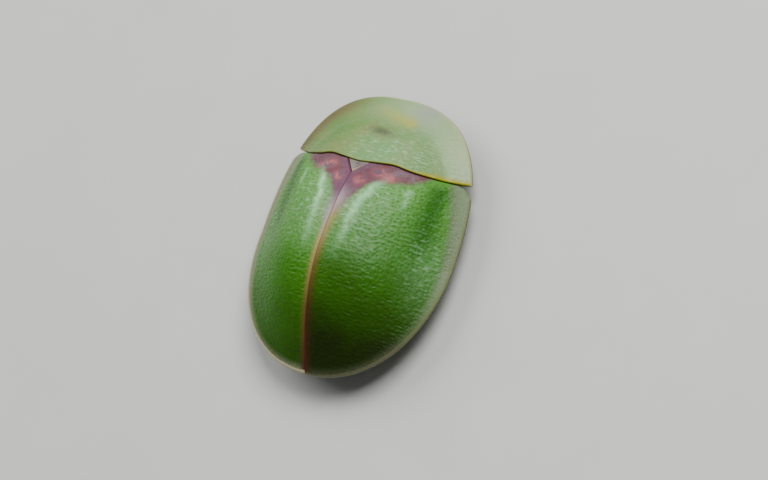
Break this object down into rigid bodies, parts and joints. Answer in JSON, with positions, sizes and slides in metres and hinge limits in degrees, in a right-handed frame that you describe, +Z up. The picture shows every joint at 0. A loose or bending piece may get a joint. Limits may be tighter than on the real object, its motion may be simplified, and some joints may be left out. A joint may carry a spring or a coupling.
{
  "type": "tortoise beetle model",
  "caption": "Life-size thistle tortoise beetle at rest, with a shield-shaped pronotum, green wing cases, head, feelers and legs as separate solids.",
  "frame": {"origin": "on the floor, under the middle of the beetle's length and width", "axes": "+Z up, -Y towards the head, +X towards the beetle's left"},
  "size_m": [0.0054, 0.0072, 0.0023],
  "materials": {
    "pronotum": "olive chitin, finely wrinkled, satin",
    "wing_case": "green chitin with close pits, satin gloss",
    "scutellum": "olive grey chitin, satin",
    "body": "black chitin with fine points, satin",
    "leg": "amber chitin, dark at the root, satin",
    "antenna": "amber chitin with a dark downy club",
    "eye": "black facets, glossy"
  },
  "bodies": {
    "root": {"pronotum": "pronotum", "scutellum": "scutellum", "elytron_left": "wing_case", "elytron_right": "wing_case", "head": "body", "mouthparts": "body", "eye_left": "eye", "eye_right": "eye", "antenna_left": "antenna", "antenna_right": "antenna", "prothorax": "body", "mesothorax": "body", "metathorax": "body", "abdomen": "body", "coxa_fore_left": "body", "coxa_fore_right": "body", "coxa_mid_left": "body", "coxa_mid_right": "body", "coxa_hind_left": "body", "coxa_hind_right": "body", "femur_fore_left": "leg", "femur_fore_right": "leg", "femur_mid_left": "leg", "femur_mid_right": "leg", "femur_hind_left": "leg", "femur_hind_right": "leg", "tibia_fore_left": "leg", "tibia_fore_right": "leg", "tibia_mid_left": "leg", "tibia_mid_right": "leg", "tibia_hind_left": "leg", "tibia_hind_right": "leg", "tarsus_fore_left": "leg", "tarsus_fore_right": "leg", "tarsus_mid_left": "leg", "tarsus_mid_right": "leg", "tarsus_hind_left": "leg", "tarsus_hind_right": "leg"}
  },
  "joints": []
}
